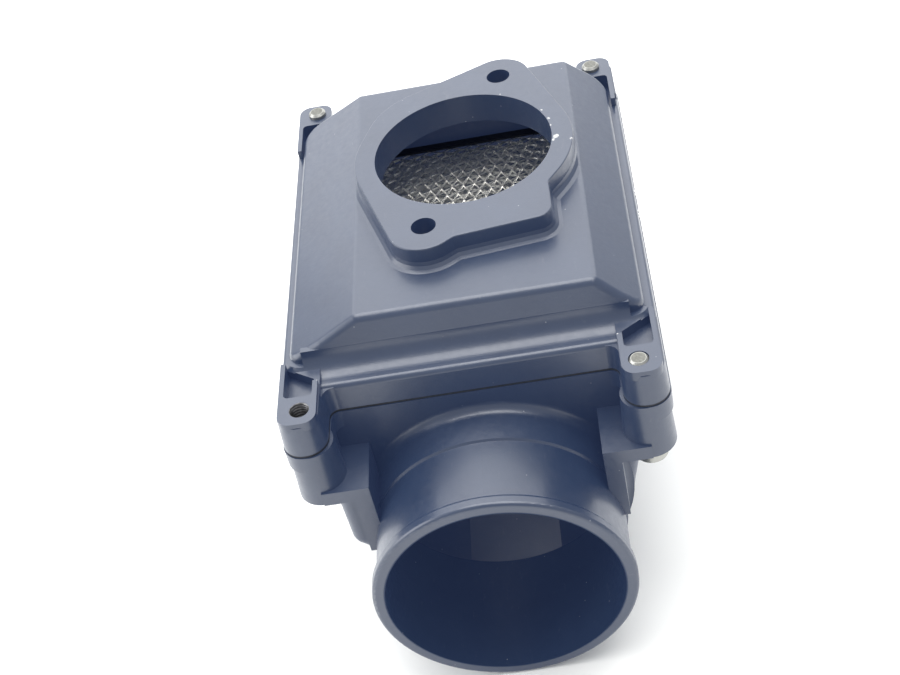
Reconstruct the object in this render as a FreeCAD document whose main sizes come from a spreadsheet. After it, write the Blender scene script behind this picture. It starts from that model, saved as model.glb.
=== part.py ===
"""Air box of a small engine: a cast cover, a cast tub with a round intake tube, a gasket and
three stacked expanded-metal screens between them, and three of its four clamping screws.

Millimetres. +Z points up, out of the carburettor flange. The intake tube points along -Y.
The origin is the middle of the four-screw rectangle, on the plane that the tub stands on.
"""
import FreeCAD
import Part
import Sketcher
import math
import os

V = FreeCAD.Vector

SIZES = [
    # joint between the castings
    ("parting_height", 88.0, "underside of the cover above the ground"),
    ("gasket_thickness", 0.8, "gasket between the castings"),
    ("wall", 3.2, "wall of both castings"),
    ("case_half_width", 57.3, "side of the cover, from the middle plane"),
    ("case_front", 64.2, "front wall of the cover, from the screw rectangle's middle"),
    ("case_back", 67.2, "back wall of the cover, from the same middle"),
    ("case_corner", 6.0, "plan radius of the case's corners"),
    ("case_draft", 3.5, "draft angle of the cover's skirt, degrees"),
    ("tub_lip", 0.3, "how far the tub's rim stands out beyond the cover"),
    # screws and ears
    ("screw_spacing_x", 99.0, "between the left and right screws"),
    ("screw_spacing_y", 150.0, "between the front and rear screws"),
    ("screw_radius", 3.0, "shank of the clamping screws"),
    ("thread_clearance", 0.05, "room round a shank in its hole"),
    ("head_radius", 5.0, "screw head"),
    ("head_height", 6.0, "screw head"),
    ("socket_width", 5.0, "hexagon socket, across its flats"),
    ("socket_depth", 3.0, "hexagon socket"),
    ("screw_bevel", 0.7, "bevel at the end of a shank"),
    ("front_screw_stand", 0.3, "end of the front screw above its ear"),
    ("rear_screw_stand", 1.7, "end of a rear screw above its ear"),
    ("ear_width", 13.7, "ear, across, inward from the case's side"),
    ("ear_nose", 6.6, "rounded end of an ear, beyond the screw's axis"),
    ("ear_flare", 3.0, "inward corner between an ear and the end wall"),
    ("ear_top_inset", 1.2, "edge of an ear's top plate inside its foot"),
    ("ear_top_round", 4.0, "corners of an ear's top plate"),
    ("ear_plate", 1.8, "plate on top of an ear"),
    ("ear_rim", 1.5, "rim round an ear's pocket"),
    ("ear_rim_end", 63.3, "inner rim's end, from the screw rectangle's middle"),
    ("outer_rim_end", 54.5, "outer rim's end, from the same middle"),
    ("pocket_bridge", 5.6, "from the screw's axis to the pocket"),
    ("pocket_depth", 5.2, "casting pocket"),
    ("pocket_round", 1.5, "corners of a pocket"),
    # faceted deck of the cover
    ("ledge_rise", 9.3, "ledge round the deck, above the parting plane"),
    ("ledge_round", 1.7, "rounding of the ledge's outer edge"),
    ("edge_rise", 12.6, "outer edge of the side facets and ear tops, above the parting plane"),
    ("deck_rise", 24.1, "flat top of the deck, above the parting plane"),
    ("deck_left", 31.2, "left fold of the flat top"),
    ("deck_right", 40.7, "right fold of the flat top"),
    ("side_ledge", 3.5, "ledge beside the deck, in from the case's side"),
    ("front_ledge", 10.1, "ledge before the deck, in from the case's front"),
    ("back_ledge", 0.7, "ledge behind the deck, in from the case's back"),
    ("brow_rise", 15.9, "fold of the deck's front face, above the parting plane"),
    ("brow_lean", 2.4, "how far the front face leans back above that fold"),
    ("front_corner", 4.5, "plan radius of the deck's front corners"),
    ("back_corner", 7.5, "plan radius of the deck's back corners"),
    ("ridge_round", 2.5, "rounding of the deck's edges"),
    ("cove_radius", 6.4, "cove between the deck's front face and the ledge"),
    # carburettor flange
    ("flange_rise", 31.4, "flange face, above the parting plane"),
    ("flange_draft", 2.0, "draft angle of the flange, degrees"),
    ("flange_edge", 0.4, "rounding of the flange's upper edge"),
    ("flange_foot", 2.5, "rounding between the flange and the deck"),
    ("bore_x", 5.0, "carburettor bore"),
    ("bore_y", 14.1, "carburettor bore"),
    ("bore_radius", 28.8, "carburettor bore"),
    ("flange_radius", 35.5, "round part of the flange"),
    ("brow_x", -1.9, "bulge of the flange towards the rear left"),
    ("brow_y", 26.0, "the same bulge"),
    ("brow_radius", 25.0, "the same bulge"),
    ("bolt_circle_radius", 39.45, "carburettor bolts, from the bore's axis"),
    ("bolt_angle", 70.3, "direction of the rear bolt, degrees from +X"),
    ("bolt_hole_radius", 3.9, "carburettor bolt holes"),
    ("rear_lobe_radius", 10.4, "flange round the rear bolt"),
    ("front_lobe_radius", 11.2, "flange round the front bolt"),
    ("notch_x", 2.0, "inward corner between the front lobe and the lug"),
    ("notch_y", -33.2, "the same inward corner"),
    ("notch_radius", 3.0, "the same inward corner"),
    ("lug_x", 26.2, "squared lug of the flange"),
    ("lug_y", -22.8, "the same lug"),
    ("lug_radius", 4.8, "the same lug"),
    ("side_notch_x", 33.9, "inward corner between the lug and the round part"),
    ("side_notch_y", -11.7, "the same inward corner"),
    ("side_notch_radius", 3.0, "the same inward corner"),
    # tub
    ("rim_depth", 6.2, "rim under the gasket"),
    ("tub_round", 43.0, "underside of the tub, round the tube's axis"),
    ("rim_left", 5.2, "rim's overhang on the left, from the cover's side"),
    ("tub_left_lean", 1.8, "how far the left wall leans in down to its corner"),
    ("tub_left_height", 26.6, "lower left corner of the tub above the ground"),
    ("tub_left_round", 5.0, "rounding of the same corner"),
    ("tub_left_roll", 16.1, "where the lower left face meets the roll's tangent plane"),
    ("rim_right", 2.1, "rim's overhang on the right, from the cover's side"),
    ("tub_right_roll", 34.4, "where the right wall meets the roll's tangent plane"),
    ("tub_edge_round", 4.0, "rounding of the tub's front and back edges"),
    ("seat_depth", 4.2, "rebate that the screens lie in"),
    ("seat_side_land", 3.3, "rim beside the rebate"),
    ("seat_front_land", 2.4, "rim before the rebate"),
    ("seat_back_land", 4.0, "rim behind the rebate"),
    ("seat_corner", 3.0, "corners of the rebate"),
    ("screen_bearing", 3.2, "how far the gasket covers the screens' edge"),
    ("boss_foot_radius", 8.0, "screw boss at its foot"),
    ("boss_top_radius", 7.0, "screw boss under the rim"),
    ("tab_inset", 0.4, "tab behind a boss, in from the ear's sides"),
    ("boss_length", 19.6, "screw boss, below the gasket"),
    # webs and ribs beside the tube
    ("web_thickness", 5.0, "web between a front boss and the tube"),
    ("web_front", 83.4, "front face of the webs and ribs"),
    ("rib_inner", 35.0, "inner face of the ribs beside the tube"),
    ("rib_thickness", 5.3, "ribs beside the tube"),
    ("rib_foot", 4.5, "lower end of the ribs, above the tube's axis"),
    # intake tube
    ("bead_radius", 40.0, "bead at the mouth, which touches the ground"),
    ("bead_length", 4.4, "bead at the mouth"),
    ("bead_round", 1.2, "rounding of the bead"),
    ("spigot_radius", 38.7, "spigot behind the bead"),
    ("collar_radius", 39.4, "collar between the spigot and the tub"),
    ("collar_end", 77.0, "front end of the collar"),
    ("collar_round", 3.0, "rounding where the collar meets the tub"),
    ("tube_end", 103.6, "mouth of the tube"),
    ("tube_bore", 36.1, "bore of the tube"),
    # screens
    ("screen_thickness", 1.3, "one expanded-metal sheet"),
    ("screen_gap", 0.05, "room round and between the sheets"),
    ("mesh_columns", 8, "columns of diamond openings"),
    ("mesh_rows", 8, "rows of diamond openings"),
    ("mesh_pitch_x", 12.0, "between two openings, across"),
    ("mesh_pitch_y", 14.4, "between two openings, along"),
    ("mesh_open_x", 9.4, "a diamond opening, across"),
    ("mesh_open_y", 11.0, "a diamond opening, along"),
]


class Size:
    """A size with both its value and the sheet formula that gives it."""

    def __init__(self, value, formula):
        self.value = float(value)
        self.formula = formula

    def __add__(self, other):
        return combine(self, other, "+", number(self) + number(other))

    def __radd__(self, other):
        return combine(other, self, "+", number(other) + number(self))

    def __sub__(self, other):
        return combine(self, other, "-", number(self) - number(other))

    def __rsub__(self, other):
        return combine(other, self, "-", number(other) - number(self))

    def __mul__(self, other):
        return combine(self, other, "*", number(self) * number(other))

    def __rmul__(self, other):
        return combine(other, self, "*", number(other) * number(self))

    def __truediv__(self, other):
        return combine(self, other, "/", number(self) / number(other))

    def __neg__(self):
        return 0 - self


def number(size):
    return size.value if isinstance(size, Size) else float(size)


def formula(size):
    return size.formula if isinstance(size, Size) else repr(float(size))


def combine(left, right, sign, value):
    return Size(value, "(" + formula(left) + " " + sign + " " + formula(right) + ")")


def sine(angle):
    return Size(math.sin(math.radians(angle.value)), "sin(" + angle.formula + " * 1 deg)")


def cosine(angle):
    return Size(math.cos(math.radians(angle.value)), "cos(" + angle.formula + " * 1 deg)")


class Dims:
    """The cells of the sheet, each under its own alias."""


def make_sheet():
    """The driving dimensions: a note and a value with its alias in each row."""
    sheet = doc.addObject("Spreadsheet::Sheet", "dims")
    dims = Dims()
    for row, (alias, value, note) in enumerate(SIZES, 1):
        sheet.set("A" + str(row), note)
        sheet.set("B" + str(row), str(value))
        sheet.setAlias("B" + str(row), alias)
        setattr(dims, alias, Size(value, "dims." + alias))
    doc.recompute()
    return dims


doc = FreeCAD.newDocument("AirBox")
d = make_sheet()

PLANES = {
    "XY": FreeCAD.Rotation(),
    "XZ": FreeCAD.Rotation(V(1, 0, 0), 90),
    "YZ": FreeCAD.Rotation(V(1, 1, 1), 120),
}
ALONG_Y = FreeCAD.Rotation(V(1, 0, 0), -90)


def bind(item, prop, size):
    """Ties a property to the sheet. A plain number stays as it was set."""
    if isinstance(size, Size):
        item.setExpression(prop, size.formula)


def place(item, x, y, z, turn=None):
    """Sets an object down at a point whose coordinates follow the sheet."""
    item.Placement = FreeCAD.Placement(V(number(x), number(y), number(z)), turn or PLANES["XY"])
    bind(item, "Placement.Base.x", x)
    bind(item, "Placement.Base.y", y)
    bind(item, "Placement.Base.z", z)


def constrain(sketch, kind, where, size):
    slot = sketch.addConstraint(Sketcher.Constraint(kind, *where, number(size)))
    bind(sketch, "Constraints[" + str(slot) + "]", size)


def pin(sketch, geometry, point, across, up):
    """Holds a point of the sketch at its distances from the sketch's origin."""
    constrain(sketch, "DistanceX", (-1, 1, geometry, point), across)
    constrain(sketch, "DistanceY", (-1, 1, geometry, point), up)


def arc_about(centre, start, end):
    """The counter-clockwise arc from start to end."""
    begin = math.atan2(start.y - centre.y, start.x - centre.x)
    finish = math.atan2(end.y - centre.y, end.x - centre.x)
    circle = Part.Circle(centre, V(0, 0, 1), (start - centre).Length)
    return Part.ArcOfCircle(circle, begin, finish)


def draw_polygon(sketch, corners):
    """A closed polygon. A corner is (across, up), or (across, up, round) where it is rounded."""
    count = len(corners)
    first = sketch.GeometryCount
    points = [V(number(corner[0]), number(corner[1]), 0) for corner in corners]
    arrivals, departures, arcs = [], [], []
    for index, corner in enumerate(corners):
        back = (points[index - 1] - points[index]).normalize()
        ahead = (points[(index + 1) % count] - points[index]).normalize()
        half = back.getAngle(ahead) / 2
        radius = number(corner[2]) if len(corner) == 3 else 0.0
        arrivals.append(points[index] + back * (radius / math.tan(half)))
        departures.append(points[index] + ahead * (radius / math.tan(half)))
        if radius:
            centre = points[index] + (back + ahead).normalize() * (radius / math.sin(half))
            turns_left = ahead.cross(back).z > 0
            ends = (arrivals[-1], departures[-1]) if turns_left else (departures[-1], arrivals[-1])
            arcs.append((index, turns_left, arc_about(centre, *ends)))
    for index in range(count):
        sketch.addGeometry(Part.LineSegment(departures[index], arrivals[(index + 1) % count]))
    rounded = {}
    for index, turns_left, arc in arcs:
        rounded[index] = (sketch.addGeometry(arc), turns_left)
    for index, corner in enumerate(corners):
        line_in = first + (index - 1) % count
        line_out = first + index
        if index not in rounded:
            sketch.addConstraint(Sketcher.Constraint("Coincident", line_in, 2, line_out, 1))
            pin(sketch, line_out, 1, corner[0], corner[1])
            continue
        arc, turns_left = rounded[index]
        arc_in, arc_out = (1, 2) if turns_left else (2, 1)
        apex = sketch.addGeometry(Part.Point(points[index]), True)
        sketch.addConstraint(Sketcher.Constraint("Tangent", line_in, 2, arc, arc_in))
        sketch.addConstraint(Sketcher.Constraint("Tangent", line_out, 1, arc, arc_out))
        sketch.addConstraint(Sketcher.Constraint("PointOnObject", apex, 1, line_in))
        sketch.addConstraint(Sketcher.Constraint("PointOnObject", apex, 1, line_out))
        pin(sketch, apex, 1, corner[0], corner[1])
        constrain(sketch, "Radius", (arc,), corner[2])


def draw_belt(sketch, circles):
    """A closed belt of arcs and tangents round circles (across, up, radius), taken
    counter-clockwise. Round a circle with the inward mark the belt bends the other way."""
    count = len(circles)
    centres = [V(number(circle[0]), number(circle[1]), 0) for circle in circles]
    reaches = [number(circle[2]) * (1 if len(circle) == 3 else -1) for circle in circles]
    lines = []
    for index in range(count):
        follower = (index + 1) % count
        step = centres[follower] - centres[index]
        span = step.Length
        along = (reaches[index] - reaches[follower]) / span
        outward = step * (along / span) + V(step.y, -step.x, 0) * (math.sqrt(1 - along ** 2) / span)
        start = centres[index] + outward * reaches[index]
        end = centres[follower] + outward * reaches[follower]
        lines.append((start, end))
        sketch.addGeometry(Part.LineSegment(start, end))
    for index, circle in enumerate(circles):
        arrival = lines[index - 1][1]
        departure = lines[index][0]
        outside = reaches[index] > 0
        ends = (arrival, departure) if outside else (departure, arrival)
        arc = sketch.addGeometry(arc_about(centres[index], *ends))
        arc_in, arc_out = (1, 2) if outside else (2, 1)
        sketch.addConstraint(Sketcher.Constraint("Tangent", (index - 1) % count, 2, arc, arc_in))
        sketch.addConstraint(Sketcher.Constraint("Tangent", index, 1, arc, arc_out))
        pin(sketch, arc, 3, circle[0], circle[1])
        constrain(sketch, "Radius", (arc,), circle[2])


def sketch_on(plane, name, corners, x=0, y=0, z=0, draw=draw_polygon):
    sketch = doc.addObject("Sketcher::SketchObject", name + "_outline")
    draw(sketch, corners)
    place(sketch, x, y, z, PLANES[plane])
    return sketch


def prism(name, sketch, length, backward=0, draft=0):
    """A sketch swept along its normal: +Z for XY, -Y for XZ, +X for YZ. A positive draft
    widens it on the way."""
    solid = doc.addObject("Part::Extrusion", name)
    solid.Base = sketch
    solid.DirMode = "Normal"
    solid.Solid = True
    for prop, size in (("LengthFwd", length), ("LengthRev", backward), ("TaperAngle", draft)):
        setattr(solid, prop, number(size))
        bind(solid, prop, size)
    return solid


def turned(name, corners, x, y, z, axis, angle=360, start=0):
    """A profile drawn on the YZ plane and turned about the Y or Z axis through a point."""
    solid = doc.addObject("Part::Revolution", name)
    solid.Source = sketch_on("YZ", name, corners)
    solid.Axis = axis
    solid.Angle = angle
    solid.Solid = True
    place(solid, x, y, z, FreeCAD.Rotation(axis, start))
    return solid


def box(name, low, high):
    solid = doc.addObject("Part::Box", name)
    for prop, start, end in zip(("Length", "Width", "Height"), low, high):
        setattr(solid, prop, number(end) - number(start))
        bind(solid, prop, end - start)
    place(solid, *low)
    return solid


def cylinder(name, centre, radius, length, turn=None):
    solid = doc.addObject("Part::Cylinder", name)
    for prop, size in (("Radius", radius), ("Height", length)):
        setattr(solid, prop, number(size))
        bind(solid, prop, size)
    place(solid, *centre, turn)
    return solid


def cone(name, centre, foot_radius, top_radius, height):
    solid = doc.addObject("Part::Cone", name)
    for prop, size in (("Radius1", foot_radius), ("Radius2", top_radius), ("Height", height)):
        setattr(solid, prop, number(size))
        bind(solid, prop, size)
    place(solid, *centre)
    return solid


def join(kind, name, pieces):
    solid = doc.addObject(kind, name)
    solid.Shapes = pieces
    solid.Refine = True
    return solid


def fuse(name, pieces):
    return join("Part::MultiFuse", name, pieces)


def common(name, pieces):
    return join("Part::MultiCommon", name, pieces)


def cut(name, base, tools):
    solid = doc.addObject("Part::Cut", name)
    solid.Base = base
    solid.Tool = tools[0] if len(tools) == 1 else fuse(name + "_tools", tools)
    solid.Refine = True
    return solid


def soften(name, base, choose):
    """Rounds edges. choose gives an edge's radius from its middle and direction, or None."""
    doc.recompute()
    solid = doc.addObject("Part::Fillet", name)
    solid.Base = base
    picked = []
    for index, edge in enumerate(base.Shape.Edges, 1):
        half_way = (edge.FirstParameter + edge.LastParameter) / 2
        radius = choose(edge.valueAt(half_way), edge.tangentAt(half_way))
        if radius is not None:
            picked.append((index, number(radius), number(radius)))
    solid.Edges = picked
    return solid


def rectangle(left, front, right, back, *corner):
    """Corners of an upright rectangle, rounded if a radius follows."""
    return [
        (left, front, *corner),
        (right, front, *corner),
        (right, back, *corner),
        (left, back, *corner),
    ]


CORNERS = [
    ("front_left", -1, -1),
    ("front_right", 1, -1),
    ("rear_left", -1, 1),
    ("rear_right", 1, 1),
]

case_top = d.parting_height
rim_top = d.parting_height - d.gasket_thickness
ledge_height = case_top + d.ledge_rise
edge_height = case_top + d.edge_rise
deck_height = case_top + d.deck_rise
flange_height = case_top + d.flange_rise
boss_foot = rim_top - d.boss_length
tub_front = d.case_front + d.tub_lip
tub_back = d.case_back + d.tub_lip
screw_x = d.screw_spacing_x / 2
screw_y = d.screw_spacing_y / 2
screw_hole = d.screw_radius + d.thread_clearance
tube_axis = d.bead_radius
ear_inner = d.case_half_width - d.ear_width
ear_end = screw_y + d.ear_nose
deck_side = d.case_half_width - d.side_ledge
deck_front = d.case_front - d.front_ledge
deck_back = d.case_back - d.back_ledge
seat_side = d.case_half_width - d.seat_side_land
seat_front = d.case_front - d.seat_front_land
seat_back = d.case_back - d.seat_back_land


def case_plate(name, bottom, height, outset, draft=0):
    """The case's outline in plan, grown by an outset and swept upward."""
    side = d.case_half_width + outset
    corners = rectangle(-side, -(d.case_front + outset), side, d.case_back + outset, d.case_corner)
    return prism(name, sketch_on("XY", name, corners, z=bottom), height, draft=draft)


def mirrored(corners, side, end):
    """Corners given for the rear right of the case, moved to another quarter of it."""
    return [(side * corner[0], end * corner[1], *corner[2:]) for corner in corners]


def end_wall(end):
    return d.case_front if end < 0 else d.case_back


def ear(name, side, end, bottom, top, outset, draft=0):
    """An ear: it runs flush with the case's side and has a rounded nose beyond its screw."""
    outer = d.case_half_width + outset
    inner = ear_inner - outset
    nose = ear_end + outset
    root = end_wall(end) - d.case_corner - 2
    corners = [
        (inner, root),
        (outer, root),
        (outer, nose, d.ear_nose + outset),
        (inner, nose, d.ear_nose + outset),
    ]
    sketch = sketch_on("XY", name, mirrored(corners, side, end), z=bottom)
    return prism(name, sketch, top - bottom, draft=draft)


def flare(name, side, end, bottom, top, outset, draft=0):
    """The rounded inward corner between an ear and the case's end wall."""
    inner = ear_inner - outset
    wall_face = end_wall(end) + outset
    reach = d.ear_flare + 0.6
    corners = [
        (inner + 2, wall_face - 2),
        (inner + 2, wall_face + reach),
        (inner, wall_face + reach),
        (inner, wall_face, d.ear_flare),
        (inner - reach, wall_face),
        (inner - reach, wall_face - 2),
    ]
    sketch = sketch_on("XY", name, mirrored(corners, side, end), z=bottom)
    return prism(name, sketch, top - bottom, draft=draft)


def screw_holes(name, bottom, top):
    holes = []
    for corner, side, end in CORNERS:
        centre = (side * screw_x, end * screw_y, bottom)
        holes.append(cylinder(name + "_" + corner, centre, screw_hole, top - bottom))
    return holes


def build_skirt():
    """The cover's drafted skirt with its four ears, their pockets and the rounded ledge."""
    draft = -d.case_draft
    ledge_z = number(ledge_height)

    def on_ledge(middle, direction):
        return d.ledge_round if abs(middle.z - ledge_z) < 0.01 else None

    body = case_plate("skirt", case_top, d.ledge_rise, 0, draft)
    pieces = [soften("skirt_rounded", body, on_ledge)]
    pockets = []
    plate_foot = edge_height - d.ear_plate
    for corner, side, end in CORNERS:
        pieces.append(ear("ear_" + corner, side, end, case_top, plate_foot, 0, draft))
        pieces.append(flare("flare_" + corner, side, end, case_top,
                            ledge_height - 0.4 * d.ledge_round, 0, draft))
        outer = d.case_half_width - d.ear_top_inset
        inner = ear_inner + d.ear_top_inset * 0.7
        near = screw_y - d.pocket_bridge
        tip = ear_end - d.ear_top_inset * 0.7
        top = sketch_on("XY", "ear_top_" + corner, mirrored([
            (inner, tip, d.ear_top_round),
            (outer, tip, d.ear_top_round),
            (outer, d.outer_rim_end),
            (outer - d.ear_rim, d.outer_rim_end),
            (outer - d.ear_rim, near, d.pocket_round),
            (inner + d.ear_rim, near, d.pocket_round),
            (inner + d.ear_rim, d.ear_rim_end),
            (inner, d.ear_rim_end),
        ], side, end), z=ledge_height)
        pieces.append(prism("ear_top_" + corner, top, edge_height - ledge_height))
        far = end_wall(end) - d.front_ledge + 1 if end < 0 else d.ear_rim_end - d.back_corner
        step = d.cove_radius - 0.6 if end < 0 else 0
        hollow = sketch_on("XY", "pocket_" + corner, mirrored([
            (outer - d.ear_rim, far),
            (outer - d.ear_rim, near, d.pocket_round),
            (inner + d.ear_rim, near, d.pocket_round),
            (inner + d.ear_rim, far + step),
        ], side, end), z=edge_height - d.pocket_depth)
        pockets.append((end, prism("pocket_" + corner, hollow, d.pocket_depth + 1)))
    return pieces, pockets


def build_deck():
    """What three sweeps have in common, with rounded edges and a cove along its foot."""
    side = deck_side
    front = deck_front
    brow = case_top + d.brow_rise
    across = prism("deck_across", sketch_on("XZ", "deck_across", [
        (-side, case_top),
        (side, case_top),
        (side, edge_height),
        (d.deck_right, deck_height),
        (-d.deck_left, deck_height),
        (-side, edge_height),
    ]), d.case_back + 5, d.case_back + 5)
    along = prism("deck_along", sketch_on("YZ", "deck_along", [
        (-front, case_top),
        (deck_back, case_top),
        (deck_back, deck_height),
        (d.brow_lean - front, deck_height),
        (-front, brow),
    ]), d.case_half_width + 5, d.case_half_width + 5)
    plan = prism("deck_plan", sketch_on("XY", "deck_plan", [
        (-side, -front, d.front_corner),
        (side, -front, d.front_corner),
        (side, deck_back, d.back_corner),
        (-side, deck_back, d.back_corner),
    ], z=case_top), d.deck_rise + 5)
    deck = common("deck_sharp", [across, along, plan])
    lowest = number(edge_height) - 0.01

    def on_top(middle, direction):
        return d.ridge_round if middle.z > lowest else None

    pieces = [soften("deck", deck, on_top)]

    # cove along the front, carried round the deck's front corners
    foot = d.front_ledge - d.ledge_round
    rise = d.cove_radius + 0.2
    pieces.append(prism("cove", sketch_on("YZ", "cove", [
        (-(front + foot - 1.5), case_top),
        (2 - front, case_top),
        (2 - front, ledge_height + rise),
        (-front, ledge_height + rise),
        (-front, ledge_height, d.cove_radius),
        (-(front + foot - 1.5), ledge_height),
    ]), side - d.front_corner, side - d.front_corner))
    for name, sign, start in (("left", -1, -60), ("right", 1, 0)):
        radius = d.front_corner
        round_cove = turned("cove_turn_" + name, [
            (-(radius + foot - 1.5), case_top),
            (0, case_top),
            (0, ledge_height + rise),
            (-radius, ledge_height + rise),
            (-radius, ledge_height, d.cove_radius),
            (-(radius + foot - 1.5), ledge_height),
        ], sign * (side - radius), radius - front, 0, V(0, 0, 1), 60, start)
        limit = d.case_half_width - d.ear_top_inset - 0.5 * d.ear_rim
        low_x, high_x = sorted((0 * side, sign * limit), key=number)
        room = box("cove_room_" + name, (low_x, -d.case_front, case_top),
                   (high_x, 0 * side, edge_height - 0.5 * d.ridge_round))
        pieces.append(common("cove_end_" + name, [round_cove, room]))
    return pieces


def build_upper_case():
    pieces, pockets = build_skirt()
    rear_pockets = [pocket for end, pocket in pockets if end > 0]
    front_pockets = [pocket for end, pocket in pockets if end < 0]
    skirt = cut("skirt_with_rear_pockets", fuse("skirt_with_ears", pieces), rear_pockets)
    body = cut("cover_with_pockets", fuse("cover_blank", [skirt] + build_deck()), front_pockets)

    # flange with its lobes, drafted down into the deck
    bolt_x = d.bolt_circle_radius * cosine(d.bolt_angle)
    bolt_y = d.bolt_circle_radius * sine(d.bolt_angle)

    def flange_belt(grow):
        main = (d.bore_x, d.bore_y, d.flange_radius + grow)
        return [
            main,
            (d.bore_x + bolt_x, d.bore_y + bolt_y, d.rear_lobe_radius + grow),
            (d.brow_x, d.brow_y, d.brow_radius + grow),
            main,
            (d.bore_x - bolt_x, d.bore_y - bolt_y, d.front_lobe_radius + grow),
            (d.notch_x, d.notch_y, d.notch_radius - grow, "inward"),
            (d.lug_x, d.lug_y, d.lug_radius + grow),
            (d.side_notch_x, d.side_notch_y, d.side_notch_radius - grow, "inward"),
        ]

    def on_face(middle, direction):
        return d.flange_edge if abs(middle.z - number(flange_height)) < 0.01 else None

    blank = prism("flange_blank", sketch_on("XY", "flange", flange_belt(0), z=flange_height,
                                            draw=draw_belt),
                  d.flange_rise - d.deck_rise + 2, draft=d.flange_draft)
    blank.Reversed = True
    pieces = [body, soften("flange", blank, on_face)]

    # rounding at the flange's foot, as three bands that widen towards the flat of the deck
    foot_bands = []
    reach = 0.0
    top = 1.0
    for slope in (15, 45, 75):
        further = 1 - math.cos(math.radians(slope + 15))
        lower = 1 - math.sin(math.radians(slope + 15))
        band = prism("flange_foot_" + str(slope), sketch_on(
            "XY", "flange_foot_" + str(slope), flange_belt(0.2 + reach * d.flange_foot),
            z=deck_height + top * d.flange_foot, draw=draw_belt),
            (top - lower) * d.flange_foot, draft=slope)
        band.Reversed = True
        foot_bands.append(band)
        reach = further
        top = lower
    room = box("flange_foot_room", (-d.deck_left, -deck_front, deck_height - 1),
               (d.deck_right, deck_back - d.ridge_round, flange_height))
    pieces.append(common("flange_foot", [fuse("flange_foot_bands", foot_bands), room]))

    # hollow: the same three sweeps, a wall further in
    shrink = d.ledge_rise * sine(d.case_draft)
    inner_foot = d.case_half_width - shrink - d.wall
    inner_front = d.case_front - shrink - d.wall
    inner_back = deck_back - d.wall
    ceiling = deck_height - d.wall
    inner_edge = edge_height - 0.7 * d.wall
    hollow_across = prism("hollow_across", sketch_on("XZ", "hollow_across", [
        (-inner_foot, case_top - 1),
        (inner_foot, case_top - 1),
        (deck_side - d.wall, inner_edge),
        (d.deck_right - 0.4 * d.wall, ceiling),
        (-(d.deck_left - 0.4 * d.wall), ceiling),
        (-(deck_side - d.wall), inner_edge),
    ]), d.case_back + 5, d.case_back + 5)
    hollow_along = prism("hollow_along", sketch_on("YZ", "hollow_along", [
        (-inner_front, case_top - 1),
        (inner_back, case_top - 1),
        (inner_back, ceiling),
        (-(deck_front - d.brow_lean - d.wall), ceiling),
        (-(deck_front - d.wall), ledge_height, d.cove_radius),
        (-inner_front, ledge_height - d.wall),
    ]), d.case_half_width + 5, d.case_half_width + 5)
    step = -(deck_front - d.wall)
    narrow = ear_inner - 0.5 * d.wall
    hollow_plan = prism("hollow_plan", sketch_on("XY", "hollow_plan", [
        (-inner_foot, step),
        (-narrow, step),
        (-narrow, -d.case_front),
        (narrow, -d.case_front),
        (narrow, step),
        (inner_foot, step),
        (inner_foot, inner_back, d.back_corner),
        (-inner_foot, inner_back, d.back_corner),
    ], z=case_top - 1), d.deck_rise + 5)
    tools = [common("cover_hollow", [hollow_across, hollow_along, hollow_plan])]

    # bores: carburettor, its two bolts, and the four tapped ears
    depth = d.flange_rise - d.deck_rise + 10
    bottom = flange_height + 1 - depth
    tools.append(cylinder("carburettor_bore", (d.bore_x, d.bore_y, bottom), d.bore_radius, depth))
    for name, sign in (("rear", 1), ("front", -1)):
        centre = (d.bore_x + sign * bolt_x, d.bore_y + sign * bolt_y, bottom)
        tools.append(cylinder(name + "_bolt_bore", centre, d.bolt_hole_radius, depth))
    tools += screw_holes("ear_bore", case_top - 1, edge_height + 1)
    return cut("upper_case", fuse("cover_body", pieces), tools)


def tub_profile(inset):
    """Corners of the tub across the tube's axis, an inset inside its outer faces."""
    roll = tube_axis - d.tub_round + inset
    left_top = d.case_half_width - d.rim_left
    left_foot = left_top - d.tub_left_lean
    right_top = d.case_half_width - d.rim_right
    return [
        (-(left_top - inset), rim_top),
        (-(left_foot - inset), d.tub_left_height + 0.4 * inset, d.tub_left_round - 0.7 * inset),
        (-(d.tub_left_roll - 0.37 * inset), roll, d.tub_round - inset),
        (d.tub_right_roll - 0.79 * inset, roll, d.tub_round - inset),
        (right_top - 1.03 * inset, rim_top),
    ]


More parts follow.
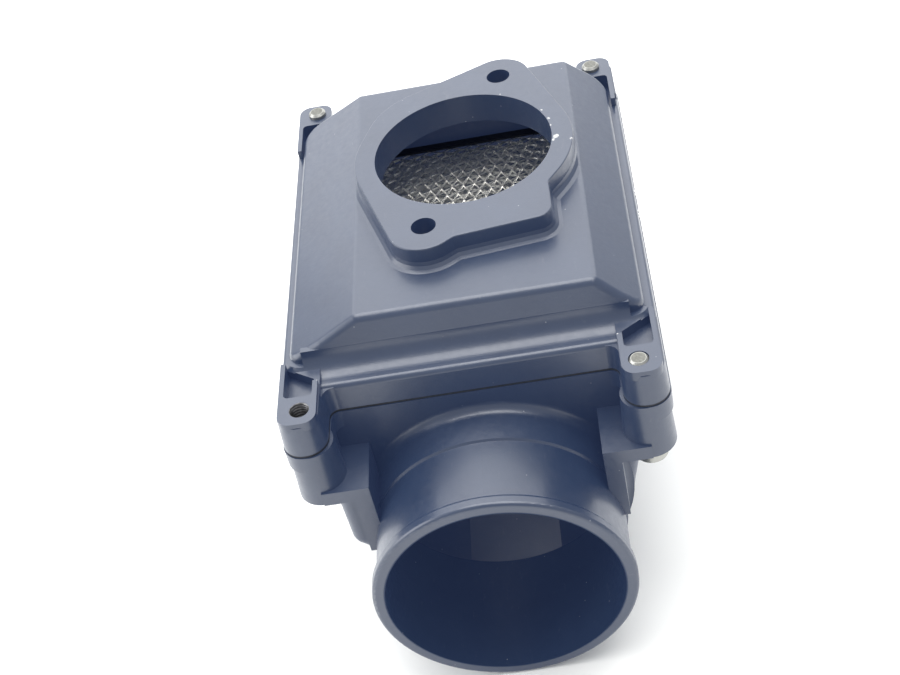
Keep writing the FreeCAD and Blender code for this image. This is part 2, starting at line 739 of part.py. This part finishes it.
def build_lower_case():
    # tub with rounded front and back edges, and its rim with the ears
    body = prism("tub_body", sketch_on("XZ", "tub_body", tub_profile(0)), tub_front, tub_back)
    front_y = -number(tub_front)
    back_y = number(tub_back)

    def on_end_loop(middle, direction):
        on_an_end = min(abs(middle.y - front_y), abs(middle.y - back_y)) < 0.01
        return d.tub_edge_round if on_an_end and middle.z < number(rim_top) - 0.01 else None

    tub = soften("tub_softened", body, on_end_loop)
    rim_foot = rim_top - d.rim_depth
    outer = [tub, case_plate("tub_rim", rim_foot, d.rim_depth, d.tub_lip)]

    # screw bosses and the tabs behind them
    for corner, side, end in CORNERS:
        y = end * screw_y
        outer.append(ear("tub_ear_" + corner, side, end, rim_foot, rim_top, d.tub_lip))
        outer.append(flare("tub_flare_" + corner, side, end, rim_foot, rim_top, d.tub_lip))
        outer.append(cone("boss_" + corner, (side * screw_x, y, boss_foot),
                          d.boss_foot_radius, d.boss_top_radius, d.boss_length))
        root = end * (end_wall(end) - d.case_corner - 2)
        low_y, high_y = (y, root) if end < 0 else (root, y)
        low_x, high_x = sorted((side * (ear_inner + d.tab_inset),
                                side * (d.case_half_width - d.tab_inset)), key=number)
        outer.append(box("tab_" + corner, (low_x, low_y, boss_foot), (high_x, high_y, rim_top)))

    # webs from the front bosses to the tube, and the ribs beside it
    web_top = boss_foot + d.web_thickness
    rib_outer = d.rib_inner + d.rib_thickness
    rib_low = tube_axis + d.rib_foot
    for name, side in (("left", -1), ("right", 1)):
        for kind, reach, low in (("web", screw_x, boss_foot), ("rib", rib_outer, rib_low)):
            low_x, high_x = sorted((side * d.rib_inner, side * reach), key=number)
            outer.append(box(kind + "_" + name, (low_x, -d.web_front, low),
                             (high_x, -(tub_front - d.wall), web_top)))

    # intake tube, turned about its own axis
    disc = d.collar_radius + d.collar_round + 0.4
    wall_face = -tub_front
    outer.append(turned("tube", [
        (wall_face + d.wall, 0),
        (wall_face + d.wall, disc),
        (wall_face, disc),
        (wall_face, d.collar_radius, d.collar_round),
        (-d.collar_end, d.collar_radius),
        (-(d.collar_end + 0.5), d.spigot_radius),
        (-(d.tube_end - d.bead_length), d.spigot_radius),
        (-(d.tube_end - d.bead_length), d.bead_radius, d.bead_round),
        (-d.tube_end, d.bead_radius, d.bead_round),
        (-d.tube_end, 0),
    ], 0, 0, tube_axis, V(0, 1, 0)))

    # hollow of the tub, rebate for the screens, bore of the tube, screw holes, and the ground
    # plane that flattens the underside
    inner = prism("tub_hollow_sweep", sketch_on("XZ", "tub_hollow", tub_profile(d.wall)),
                  tub_front - d.wall, tub_back - d.wall)
    far = 2 * d.case_half_width
    room = box("room_over_floor", (-far, -far, d.wall), (far, far, rim_top + 1))
    hollow = common("tub_hollow", [inner, room])
    seat_floor = rim_top - d.seat_depth
    seat = prism("screen_seat", sketch_on("XY", "screen_seat", rectangle(
        -seat_side, -seat_front, seat_side, seat_back, d.seat_corner,
    ), z=seat_floor), d.seat_depth + 1)
    bore = cylinder("tube_bore", (0, -(d.tube_end + 1), tube_axis), d.tube_bore,
                    d.tube_end + 1 - (tub_front - 1.5 * d.wall), ALONG_Y)
    below = box("below_ground", (-far, -far, -d.wall - 5), (far, far, 0))
    tools = [hollow, seat, bore, below]
    tools += screw_holes("boss_bore", boss_foot - 1, rim_top + 1)
    return cut("lower_case", fuse("tub_outer", outer), tools)


def build_gasket():
    outer = [case_plate("gasket_plate", rim_top, d.gasket_thickness, 0)]
    for corner, side, end in CORNERS:
        outer.append(ear("gasket_ear_" + corner, side, end, rim_top, case_top, 0))
        outer.append(flare("gasket_flare_" + corner, side, end, rim_top, case_top, 0))
    bearing = d.screen_bearing
    inner = rectangle(-(seat_side - bearing), -(seat_front - bearing),
                      seat_side - bearing, seat_back - bearing, d.seat_corner)
    window = prism("gasket_window", sketch_on("XY", "gasket_window", inner, z=rim_top - 1),
                   d.gasket_thickness + 2)
    holes = screw_holes("gasket_hole", rim_top - 1, case_top + 1)
    return cut("case_gasket", fuse("gasket_outer", outer), [window] + holes)


def origin_plane(body, role):
    return [feature for feature in body.Origin.OriginFeatures if feature.Role == role][0]


def body_sketch(body, name):
    sketch = body.newObject("Sketcher::SketchObject", name)
    sketch.AttachmentSupport = [(origin_plane(body, "XY_Plane"), "")]
    sketch.MapMode = "FlatFace"
    return sketch


def build_screen(name, level):
    """An expanded-metal sheet: a plate with two interleaved grids of diamond openings."""
    body = doc.addObject("PartDesign::Body", name)
    gap = d.screen_gap
    half_width = seat_side - gap
    plate_outline = body_sketch(body, name + "_outline")
    draw_polygon(plate_outline, rectangle(
        -half_width, -(seat_front - gap), half_width, seat_back - gap, d.seat_corner))
    plate = body.newObject("PartDesign::Pad", name + "_plate")
    plate.Profile = plate_outline
    plate.Length = number(d.screen_thickness)
    bind(plate, "Length", d.screen_thickness)
    middle_y = (seat_back - seat_front) / 2
    for grid, fewer in (("even", 0), ("odd", 1)):
        columns = d.mesh_columns - fewer
        rows = d.mesh_rows - fewer
        x = -(columns - 1) * d.mesh_pitch_x / 2
        y = middle_y - (rows - 1) * d.mesh_pitch_y / 2
        diamond = body_sketch(body, name + "_diamond_" + grid)
        draw_polygon(diamond, [
            (x - d.mesh_open_x / 2, y),
            (x, y - d.mesh_open_y / 2),
            (x + d.mesh_open_x / 2, y),
            (x, y + d.mesh_open_y / 2),
        ])
        opening = body.newObject("PartDesign::Pocket", name + "_opening_" + grid)
        opening.Profile = diamond
        opening.Reversed = True
        opening.Length = number(d.screen_thickness)
        bind(opening, "Length", d.screen_thickness)
        spread = body.newObject("PartDesign::MultiTransform", name + "_grid_" + grid)
        spread.Originals = [opening]
        patterns = []
        for axis, times, pitch in (("H_Axis", columns, d.mesh_pitch_x), ("V_Axis", rows, d.mesh_pitch_y)):
            pattern = body.newObject("PartDesign::LinearPattern", name + "_" + grid + "_" + axis)
            pattern.Direction = (diamond, [axis])
            pattern.Length = number((times - 1) * pitch)
            pattern.Occurrences = int(number(times))
            bind(pattern, "Length", (times - 1) * pitch)
            bind(pattern, "Occurrences", times)
            patterns.append(pattern)
        spread.Transformations = patterns
        body.Tip = spread
    place(body, 0, 0, level)
    return body


def build_screw(name, side, end, stand):
    """A socket-head screw, head down, its end standing above the ear."""
    length = edge_height + stand - boss_foot
    blank = turned(name + "_blank", [
        (0, -d.head_height),
        (d.head_radius, -d.head_height, 0.1 * d.head_radius),
        (d.head_radius, 0),
        (d.screw_radius, 0),
        (d.screw_radius, length - d.screw_bevel),
        (d.screw_radius - d.screw_bevel, length),
        (0, length),
    ], side * screw_x, end * screw_y, boss_foot, V(0, 0, 1))
    socket = doc.addObject("Part::Prism", name + "_socket")
    socket.Polygon = 6
    corner_reach = d.socket_width / math.sqrt(3)
    for prop, size in (("Circumradius", corner_reach), ("Height", d.socket_depth + 1)):
        setattr(socket, prop, number(size))
        bind(socket, prop, size)
    place(socket, side * screw_x, end * screw_y, boss_foot - d.head_height - 1)
    return cut(name, blank, [socket])


parts = {}
parts["upper_case"] = build_upper_case()
parts["lower_case"] = build_lower_case()
parts["case_gasket"] = build_gasket()
level = rim_top - d.seat_depth + d.screen_gap
for name in ("flame_screen_lower", "flame_screen_middle", "flame_screen_upper"):
    parts[name] = build_screen(name, level)
    level = level + d.screen_thickness + d.screen_gap
for name, side, end, stand in (
        ("case_screw_front_right", 1, -1, d.front_screw_stand),
        ("case_screw_rear_left", -1, 1, d.rear_screw_stand),
        ("case_screw_rear_right", 1, 1, d.rear_screw_stand)):
    parts[name] = build_screw(name, side, end, stand)
doc.recompute()

for item in doc.Objects:
    if "Invalid" in item.State or "Error" in item.State:
        raise RuntimeError(item.Name + " did not compute")

os.makedirs("parts", exist_ok=True)
for name, item in parts.items():
    item.Label = name
    if item.Shape.isNull() or not item.Shape.isValid() or not item.Shape.Solids:
        raise RuntimeError(name + " is not a sound solid")
    print(name, len(item.Shape.Solids), round(item.Shape.Volume), item.Shape.BoundBox)
    item.Shape.exportStep("parts/" + name + ".step")
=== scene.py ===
import bpy
import math
from mathutils import Matrix, Vector


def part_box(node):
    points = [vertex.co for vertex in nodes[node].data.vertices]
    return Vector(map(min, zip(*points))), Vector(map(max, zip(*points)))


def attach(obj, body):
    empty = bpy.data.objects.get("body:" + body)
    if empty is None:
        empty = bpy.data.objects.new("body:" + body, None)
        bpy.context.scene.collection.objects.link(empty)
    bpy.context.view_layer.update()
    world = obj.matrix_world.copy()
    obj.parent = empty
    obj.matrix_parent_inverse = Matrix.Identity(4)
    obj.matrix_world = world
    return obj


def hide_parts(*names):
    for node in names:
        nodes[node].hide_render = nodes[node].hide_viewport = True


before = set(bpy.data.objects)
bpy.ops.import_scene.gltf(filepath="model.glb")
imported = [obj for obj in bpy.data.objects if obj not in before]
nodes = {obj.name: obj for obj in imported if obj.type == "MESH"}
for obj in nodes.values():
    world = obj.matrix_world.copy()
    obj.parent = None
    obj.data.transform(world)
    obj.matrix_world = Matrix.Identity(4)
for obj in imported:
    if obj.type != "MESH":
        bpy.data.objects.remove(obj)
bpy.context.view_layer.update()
MM = 0.001

# Places on the castings that the finish and the small pieces follow, in millimetres
JOINT_HEIGHT = 87.6
SCREW_X = 49.5
SCREW_Y = 75.0
EAR_TOP = 100.6
FLANGE_TOP = 119.4
TUBE_HEIGHT = 40.0
TUBE_INSIDE = 36.3
EMPTY_HOLE_RADIUS = 3.04
SCREW_END_RADIUS = 2.0


# Node helpers

def material(name):
    """A new material, its node tree and its shader."""
    made = bpy.data.materials.new(name)
    made.use_nodes = True
    tree = made.node_tree
    return made, tree, tree.nodes["Principled BSDF"]


def place_in_mm(tree, stretch=(1, 1, 1)):
    """The point on the object, in millimetres, times a stretch."""
    where = tree.nodes.new("ShaderNodeTexCoord")
    mapping = tree.nodes.new("ShaderNodeMapping")
    mapping.inputs["Scale"].default_value = [share / MM for share in stretch]
    tree.links.new(where.outputs["Object"], mapping.inputs["Vector"])
    return mapping.outputs["Vector"]


def axes_in_mm(tree):
    """The x, y and z of the point on the object, in millimetres."""
    split = tree.nodes.new("ShaderNodeSeparateXYZ")
    tree.links.new(place_in_mm(tree), split.inputs[0])
    return split.outputs


def noise(tree, scale, detail=3.0, rough=0.55, stretch=(1, 1, 1)):
    """Noise with so many waves to the millimetre."""
    texture = tree.nodes.new("ShaderNodeTexNoise")
    texture.inputs["Scale"].default_value = scale
    texture.inputs["Detail"].default_value = detail
    texture.inputs["Roughness"].default_value = rough
    tree.links.new(place_in_mm(tree, stretch), texture.inputs["Vector"])
    return texture.outputs["Fac"]


def calculate(tree, operation, *values):
    """A math node over sockets and plain numbers."""
    node = tree.nodes.new("ShaderNodeMath")
    node.operation = operation
    for slot, value in zip(node.inputs, values):
        if isinstance(value, (int, float)):
            slot.default_value = value
        else:
            tree.links.new(value, slot)
    return node.outputs[0]


def distance_from_axis(tree, first, second):
    """The length of the two legs together."""
    squares = [calculate(tree, "MULTIPLY", leg, leg) for leg in (first, second)]
    return calculate(tree, "SQRT", calculate(tree, "ADD", *squares))


def ramp_value(tree, value, low, high, to_low=0.0, to_high=1.0):
    """A value carried from one range to another and held within it."""
    node = tree.nodes.new("ShaderNodeMapRange")
    node.inputs["From Min"].default_value = low
    node.inputs["From Max"].default_value = high
    node.inputs["To Min"].default_value = to_low
    node.inputs["To Max"].default_value = to_high
    tree.links.new(value, node.inputs["Value"])
    return node.outputs["Result"]


def two_tones(tree, value, first, second, low=0.3, high=0.7):
    """A colour that goes from the first to the second as the value rises."""
    node = tree.nodes.new("ShaderNodeValToRGB")
    for element, place, colour in zip(node.color_ramp.elements, (low, high), (first, second)):
        element.position = place
        element.color = (*colour, 1)
    tree.links.new(value, node.inputs["Fac"])
    return node.outputs["Color"]


def blend(tree, share, first, second):
    """The second colour over the first; each is a socket or a plain colour."""
    node = tree.nodes.new("ShaderNodeMix")
    node.data_type = "RGBA"
    tree.links.new(share, node.inputs["Factor"])
    for slot, colour in ((node.inputs[6], first), (node.inputs[7], second)):
        if isinstance(colour, tuple):
            slot.default_value = (*colour, 1)
        else:
            tree.links.new(colour, slot)
    return node.outputs[2]


def near_points(tree, points, raggedness):
    """1 inside ragged blots, each given as (x, y, z, radius) in millimetres, and 0 outside."""
    place = place_in_mm(tree)
    around_zero = calculate(tree, "SUBTRACT", noise(tree, 1.1, 3), 0.5)
    ragged = calculate(tree, "MULTIPLY", around_zero, raggedness)
    deepest = None
    for x, y, z, radius in points:
        distance = tree.nodes.new("ShaderNodeVectorMath")
        distance.operation = "DISTANCE"
        distance.inputs[1].default_value = (x, y, z)
        tree.links.new(place, distance.inputs[0])
        depth = calculate(tree, "SUBTRACT", radius, distance.outputs["Value"])
        deepest = depth if deepest is None else calculate(tree, "MAXIMUM", deepest, depth)
    return ramp_value(tree, calculate(tree, "ADD", deepest, ragged), -0.05, 0.1)


# Chips in the paint, on the flange's edges, the bore's rim and the front ears, and painted highlights
# on the ends of the front ears' inner rims
CHIPS_AND_RIM_END_HIGHLIGHTS = [
    (18.5, 40.4, FLANGE_TOP, 0.1), (25.9, 36.4, FLANGE_TOP, 0.0), (31.6, 27.2, FLANGE_TOP, 0.3),
    (33.2, 22.1, FLANGE_TOP, 0.4), (33.9, 18.0, FLANGE_TOP, 0.3), (35.0, 11.6, FLANGE_TOP, 0.9),
    (34.0, 10.0, FLANGE_TOP, 0.5), (39.9, 9.3, FLANGE_TOP, 0.6), (-23.6, -21.6, FLANGE_TOP, 0.3),
    (-17.8, -28.3, FLANGE_TOP, 0.1), (-50.0, -81.3, EAR_TOP, 0.5), (-48.4, -81.6, EAR_TOP, 0.6),
    (46.9, -81.3, EAR_TOP, 0.3), (50.3, -81.5, EAR_TOP, 0.4), (52.6, -81.2, EAR_TOP, 0.3),
    # The last two blots are painted highlights where the front ears' inner rims end
    (44.5, -63.3, EAR_TOP, 0.4), (-44.4, -63.3, EAR_TOP, 0.3),
]


# Materials

def inside_tube(tree):
    """1 within the inlet tube's bore and what lies behind it, and 0 elsewhere."""
    axes = axes_in_mm(tree)
    rise = calculate(tree, "SUBTRACT", axes["Z"], TUBE_HEIGHT)
    from_axis = distance_from_axis(tree, axes["X"], rise)
    return ramp_value(tree, from_axis, TUBE_INSIDE, TUBE_INSIDE + 0.4, 1.0, 0.0)


def paint_material():
    """Dark blue-grey satin paint on cast metal, with scuffs, dust and chips, painted highlights at
    the front ears' inner rim ends, and a faint painted glow that lifts its shaded faces; dull inside
    the tube.
    """
    made, tree, shader = material("case_paint")
    tone = two_tones(tree, noise(tree, 0.06, 4), (0.010, 0.019, 0.040), (0.014, 0.025, 0.050))
    scuffs = ramp_value(tree, noise(tree, 0.55, 5, 0.7, (1, 0.25, 1)), 0.62, 0.78, 0.0, 0.35)
    tone = blend(tree, scuffs, tone, (0.07, 0.08, 0.10))
    dust = tree.nodes.new("ShaderNodeTexVoronoi")
    dust.inputs["Scale"].default_value = 0.17
    tree.links.new(place_in_mm(tree), dust.inputs["Vector"])
    specks = ramp_value(tree, dust.outputs["Distance"], 0.02, 0.045, 0.3, 0.0)
    tone = blend(tree, specks, tone, (0.55, 0.55, 0.56))
    # Light grey blots: bare-metal chips, and painted highlights at the inner rim ends
    tone = blend(tree, near_points(tree, CHIPS_AND_RIM_END_HIGHLIGHTS, 1.8), tone, (0.36, 0.36, 0.35))
    tree.links.new(tone, shader.inputs["Base Color"])
    # A faint blue painted glow over all of the paint, which lifts its shaded faces and the inside of
    # the tube
    shader.inputs["Emission Color"].default_value = (0.010, 0.016, 0.040, 1)
    shader.inputs["Emission Strength"].default_value = 1.0
    sheen = ramp_value(tree, noise(tree, 0.5, 5), 0.3, 0.7, 0.32, 0.42)
    tree.links.new(sheen, shader.inputs["Roughness"])
    inside = inside_tube(tree)
    tree.links.new(ramp_value(tree, inside, 0, 1, 0.75, 0.10), shader.inputs["Specular IOR Level"])
    tree.links.new(ramp_value(tree, inside, 0, 1, 0.25, 0.0), shader.inputs["Coat Weight"])
    shader.inputs["Coat Roughness"].default_value = 0.16
    bump = tree.nodes.new("ShaderNodeBump")
    bump.inputs["Strength"].default_value = 0.16
    bump.inputs["Distance"].default_value = 0.2 * MM
    tree.links.new(noise(tree, 1.6, 6), bump.inputs["Height"])
    tree.links.new(bump.outputs["Normal"], shader.inputs["Normal"])
    return made


def metal_material(name, dark, light, roughness):
    """Bare metal, clouded between two tones."""
    made, tree, shader = material(name)
    tree.links.new(two_tones(tree, noise(tree, 1.1, 4), dark, light), shader.inputs["Base Color"])
    shader.inputs["Metallic"].default_value = 1.0
    rough = ramp_value(tree, noise(tree, 2.0, 3), 0.3, 0.7, roughness, roughness + 0.12)
    tree.links.new(rough, shader.inputs["Roughness"])
    return made


def screw_material():
    """Plated steel, dull on the flat ends of the shanks, and lighter beyond the end's radius as a
    painted highlight of the bevel round each end.
    """
    made, tree, shader = material("screw_steel")
    axes = axes_in_mm(tree)
    off_x = calculate(tree, "SUBTRACT", calculate(tree, "ABSOLUTE", axes["X"]), SCREW_X)
    off_y = calculate(tree, "SUBTRACT", calculate(tree, "ABSOLUTE", axes["Y"]), SCREW_Y)
    from_axis = distance_from_axis(tree, off_x, off_y)
    # The lighter ring round each screw end is a painted highlight of its bevel
    painted_rim_highlight = ramp_value(tree, from_axis, SCREW_END_RADIUS, SCREW_END_RADIUS + 0.3)
    dull = two_tones(tree, noise(tree, 1.4, 4), (0.10, 0.10, 0.09), (0.17, 0.17, 0.155))
    tree.links.new(blend(tree, painted_rim_highlight, dull, (0.36, 0.36, 0.34)), shader.inputs["Base Color"])
    shader.inputs["Metallic"].default_value = 0.9
    shader.inputs["Roughness"].default_value = 0.36
    return made


def gasket_material():
    """Matt black sealing strip."""
    made, tree, shader = material("gasket")
    black = two_tones(tree, noise(tree, 1.0, 3), (0.010, 0.013, 0.022), (0.016, 0.020, 0.032))
    tree.links.new(black, shader.inputs["Base Color"])
    shader.inputs["Roughness"].default_value = 0.7
    return made


def dress(name, made):
    """Give a solid its material."""
    node = nodes[name]
    node.data.materials.clear()
    node.data.materials.append(made)


paint = paint_material()
steel = screw_material()
screen_metal = metal_material("screen_metal", (0.78, 0.77, 0.73), (0.93, 0.92, 0.88), 0.36)
thread_metal = metal_material("thread_metal", (0.09, 0.09, 0.10), (0.22, 0.22, 0.22), 0.30)
dress("upper_case", paint)
dress("lower_case", paint)
dress("case_gasket", gasket_material())
for corner in ("front_right", "rear_left", "rear_right"):
    dress("case_screw_" + corner, steel)


# Small pieces, with all their sizes in millimetres

def add_piece(name, points, faces, made, smooth=False):
    """A mesh piece that belongs to the part."""
    mesh = bpy.data.meshes.new(name)
    mesh.from_pydata([[MM * value for value in point] for point in points], [], faces)
    mesh.materials.append(made)
    mesh.polygons.foreach_set("use_smooth", [smooth] * len(mesh.polygons))
    mesh.update()
    piece = bpy.data.objects.new(name, mesh)
    bpy.context.scene.collection.objects.link(piece)
    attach(piece, "root")
    return piece


def circle(count, radius, x, y):
    """Points round an upright axis."""
    turns = [2 * math.pi * index / count for index in range(count)]
    return [(radius * math.cos(turn) + x, radius * math.sin(turn) + y) for turn in turns]


SHEET_THICKNESS = 0.30
STRAND_TIP = 0.34


def expanded_sheet(node_name, pitch, hole, shift):
    """A slit and drawn sheet in the place of the plain one: staggered diamond cells, each with a
    diamond hole, their strands tipped towards the front. Pitch, hole and shift are (x, y) pairs,
    and a hole is measured from its middle to its corners."""
    low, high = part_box(node_name)
    left, front, bottom = (value / MM for value in low)
    right, rear, top = (value / MM for value in high)
    level = (bottom + top) / 2 + SHEET_THICKNESS / 2
    columns = int((right - left) / pitch[0])
    rows = int((rear - front) / pitch[1])
    start_x = (left + right) / 2 - (columns - 1) * pitch[0] / 2 + shift[0]
    start_y = (front + rear) / 2 - (rows - 1) * pitch[1] / 2 + shift[1]
    points, faces, index_of = [], [], {}

    def point(x, y, z=level):
        key = (round(x, 3), round(y, 3))
        if key not in index_of:
            index_of[key] = len(points)
            points.append((x, y, z))
        return index_of[key]

    for step in range(2 * rows - 1):
        fewer = step % 2
        for column in range(columns - fewer):
            x = start_x + (column + fewer / 2) * pitch[0]
            y = start_y + step * pitch[1] / 2
            outer = [point(x - pitch[0] / 2, y), point(x, y - pitch[1] / 2),
                     point(x + pitch[0] / 2, y), point(x, y + pitch[1] / 2)]
            inner = [point(x - hole[0], y), point(x, y - hole[1], level + STRAND_TIP),
                     point(x + hole[0], y), point(x, y + hole[1], level - STRAND_TIP)]
            for side in range(4):
                after = (side + 1) % 4
                faces.append((outer[side], outer[after], inner[after], inner[side]))

    open_edges = {}
    for face in faces:
        for start, end in zip(face, face[1:] + face[:1]):
            if (end, start) in open_edges:
                del open_edges[(end, start)]
            else:
                open_edges[(start, end)] = True
    count = len(points)
    points += [(x, y, z - SHEET_THICKNESS) for x, y, z in points]
    faces += [tuple(index + count for index in reversed(face)) for face in faces]
    faces += [(end, start, start + count, end + count) for start, end in open_edges]
    piece = add_piece(node_name + "_mesh", points, faces, screen_metal)
    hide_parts(node_name)


# The middle and lower sheets lie with their diamonds turned across the upper one's.
expanded_sheet("flame_screen_upper", (3.85, 8.4), (1.66, 3.62), (0.0, 0.0))
expanded_sheet("flame_screen_middle", (7.7, 3.9), (3.05, 1.66), (0.4, 0.3))
expanded_sheet("flame_screen_lower", (7.7, 3.9), (3.15, 1.70), (-1.5, -0.7))

WIRE_ENDS = [(1, 18.1), (1, 16.0), (1, 7.4), (1, 5.9), (1, 4.3), (-1, -9.1), (-1, -16.4)]
WIRE_RADIUS = 0.34
WIRE_ROOT = 56.2
WIRE_TIP = 57.58


def wire_end(name, side, y):
    """A raw strand that pokes out of the joint, at the right side (1) or the left side (-1)."""
    sides = 8
    stations = ((WIRE_ROOT, 1.0), (WIRE_TIP - 0.15, 1.0), (WIRE_TIP, 0.6))
    points = []
    for x, share in stations:
        for across, rise in circle(sides, share * WIRE_RADIUS, y, JOINT_HEIGHT):
            points.append((side * x, across, rise))
    faces = []
    for ring in range(len(stations) - 1):
        for index in range(sides):
            after = (index + 1) % sides
            faces.append((ring * sides + index, ring * sides + after,
                          (ring + 1) * sides + after, (ring + 1) * sides + index))
    faces.append(tuple(reversed(range(sides))))
    faces.append(tuple(range(2 * sides, 3 * sides)))
    if side < 0:
        faces = [face[::-1] for face in faces]
    add_piece(name, points, faces, screen_metal)


for number, (side, y) in enumerate(WIRE_ENDS):
    wire_end("screen_wire_end_" + str(number), side, y)


def empty_hole_thread():
    """The thread in the empty front left hole: a sleeve with a helical ridge inside."""
    pitch, turns = 1.0, 12
    around, levels_per_turn = 40, 8
    crest, root = 2.52, 2.98
    lead_in = 0.9
    top = EAR_TOP - 0.05
    levels = turns * levels_per_turn
    points = []
    for level in range(levels + 1):
        depth = level * pitch / levels_per_turn
        for index in range(around):
            share = (level / levels_per_turn + index / around) % 1
            radius = crest + (root - crest) * abs(2 * share - 1)
            radius = max(radius, root - lead_in * depth)
            angle = 2 * math.pi * index / around
            points.append((radius * math.cos(angle) - SCREW_X, radius * math.sin(angle) - SCREW_Y,
                           top - depth))
    last = levels * around
    upper = len(points)
    lower = upper + around
    for z in (top, top - turns * pitch):
        points += [(x, y, z) for x, y in circle(around, EMPTY_HOLE_RADIUS, -SCREW_X, -SCREW_Y)]
    faces = []
    for index in range(around):
        after = (index + 1) % around
        for level in range(levels):
            faces.append((level * around + index, level * around + after,
                          (level + 1) * around + after, (level + 1) * around + index))
        faces.append((upper + index, upper + after, after, index))
        faces.append((lower + after, lower + index, last + index, last + after))
        faces.append((upper + after, upper + index, lower + index, lower + after))
    add_piece("spare_hole_thread", points, faces, thread_metal, smooth=True)


empty_hole_thread()

# Floor and surround
FLOOR_HALF = 4
floor_mesh = bpy.data.meshes.new("floor")
floor_corners = [(-FLOOR_HALF, -FLOOR_HALF, 0), (FLOOR_HALF, -FLOOR_HALF, 0),
                 (FLOOR_HALF, FLOOR_HALF, 0), (-FLOOR_HALF, FLOOR_HALF, 0)]
floor_mesh.from_pydata(floor_corners, [], [(0, 1, 2, 3)])
floor = bpy.data.objects.new("floor", floor_mesh)
bpy.context.scene.collection.objects.link(floor)
floor_white, _, floor_shader = material("floor")
floor_shader.inputs["Base Color"].default_value = (0.92, 0.92, 0.90, 1)
floor_shader.inputs["Roughness"].default_value = 0.9
floor_shader.inputs["Specular IOR Level"].default_value = 0.1
floor_mesh.materials.append(floor_white)

world = bpy.data.worlds.new("surround")
bpy.context.scene.world = world
world.use_nodes = True
background = world.node_tree.nodes["Background"]
background.inputs["Color"].default_value = (0.96, 0.98, 1.0, 1)
background.inputs["Strength"].default_value = 0.72


# Lights

OBJECT_MIDDLE = Vector((0, 0, 0.09))


def panel(name, place, width, height, strength):
    """A soft light: a rectangle at a place, facing the object. Its strength is in watts."""
    light = bpy.data.lights.new(name, "AREA")
    light.shape = "RECTANGLE"
    light.size = width
    light.size_y = height
    light.energy = strength
    lamp = bpy.data.objects.new(name, light)
    bpy.context.scene.collection.objects.link(lamp)
    lamp.rotation_mode = "QUATERNION"
    lamp.rotation_quaternion = (OBJECT_MIDDLE - Vector(place)).to_track_quat("-Z", "Y")
    lamp.location = place


panel("back_panel", (0.0, 1.25, 1.05), 2.7, 1.9, 34)
panel("top_panel", (0.05, 0.1, 1.5), 1.5, 1.0, 23)
panel("left_panel", (-1.3, -0.1, 0.6), 1.3, 1.0, 14)

# Camera, in the place and with the turn that the photo was taken from
CAMERA_PLACE = (0.04557, -0.40159, 0.41344)
AZIMUTH, ELEVATION, ROLL = math.radians(8.173), math.radians(41.70), math.radians(-14.317)
back = Vector((math.sin(AZIMUTH) * math.cos(ELEVATION), -math.cos(AZIMUTH) * math.cos(ELEVATION),
               math.sin(ELEVATION)))
right = Vector((math.cos(AZIMUTH), math.sin(AZIMUTH), 0))
up = back.cross(right)
rolled_right = math.cos(ROLL) * right + math.sin(ROLL) * up
rolled_up = -math.sin(ROLL) * right + math.cos(ROLL) * up
camera_data = bpy.data.cameras.new("camera")
camera_data.lens = 63.4
camera_data.sensor_width = 36
camera = bpy.data.objects.new("camera", camera_data)
turn = Matrix((rolled_right, rolled_up, back)).transposed().to_4x4()
camera.matrix_world = Matrix.Translation(CAMERA_PLACE) @ turn
bpy.context.scene.collection.objects.link(camera)
bpy.context.scene.camera = camera
bpy.context.scene.view_settings.view_transform = "Standard"
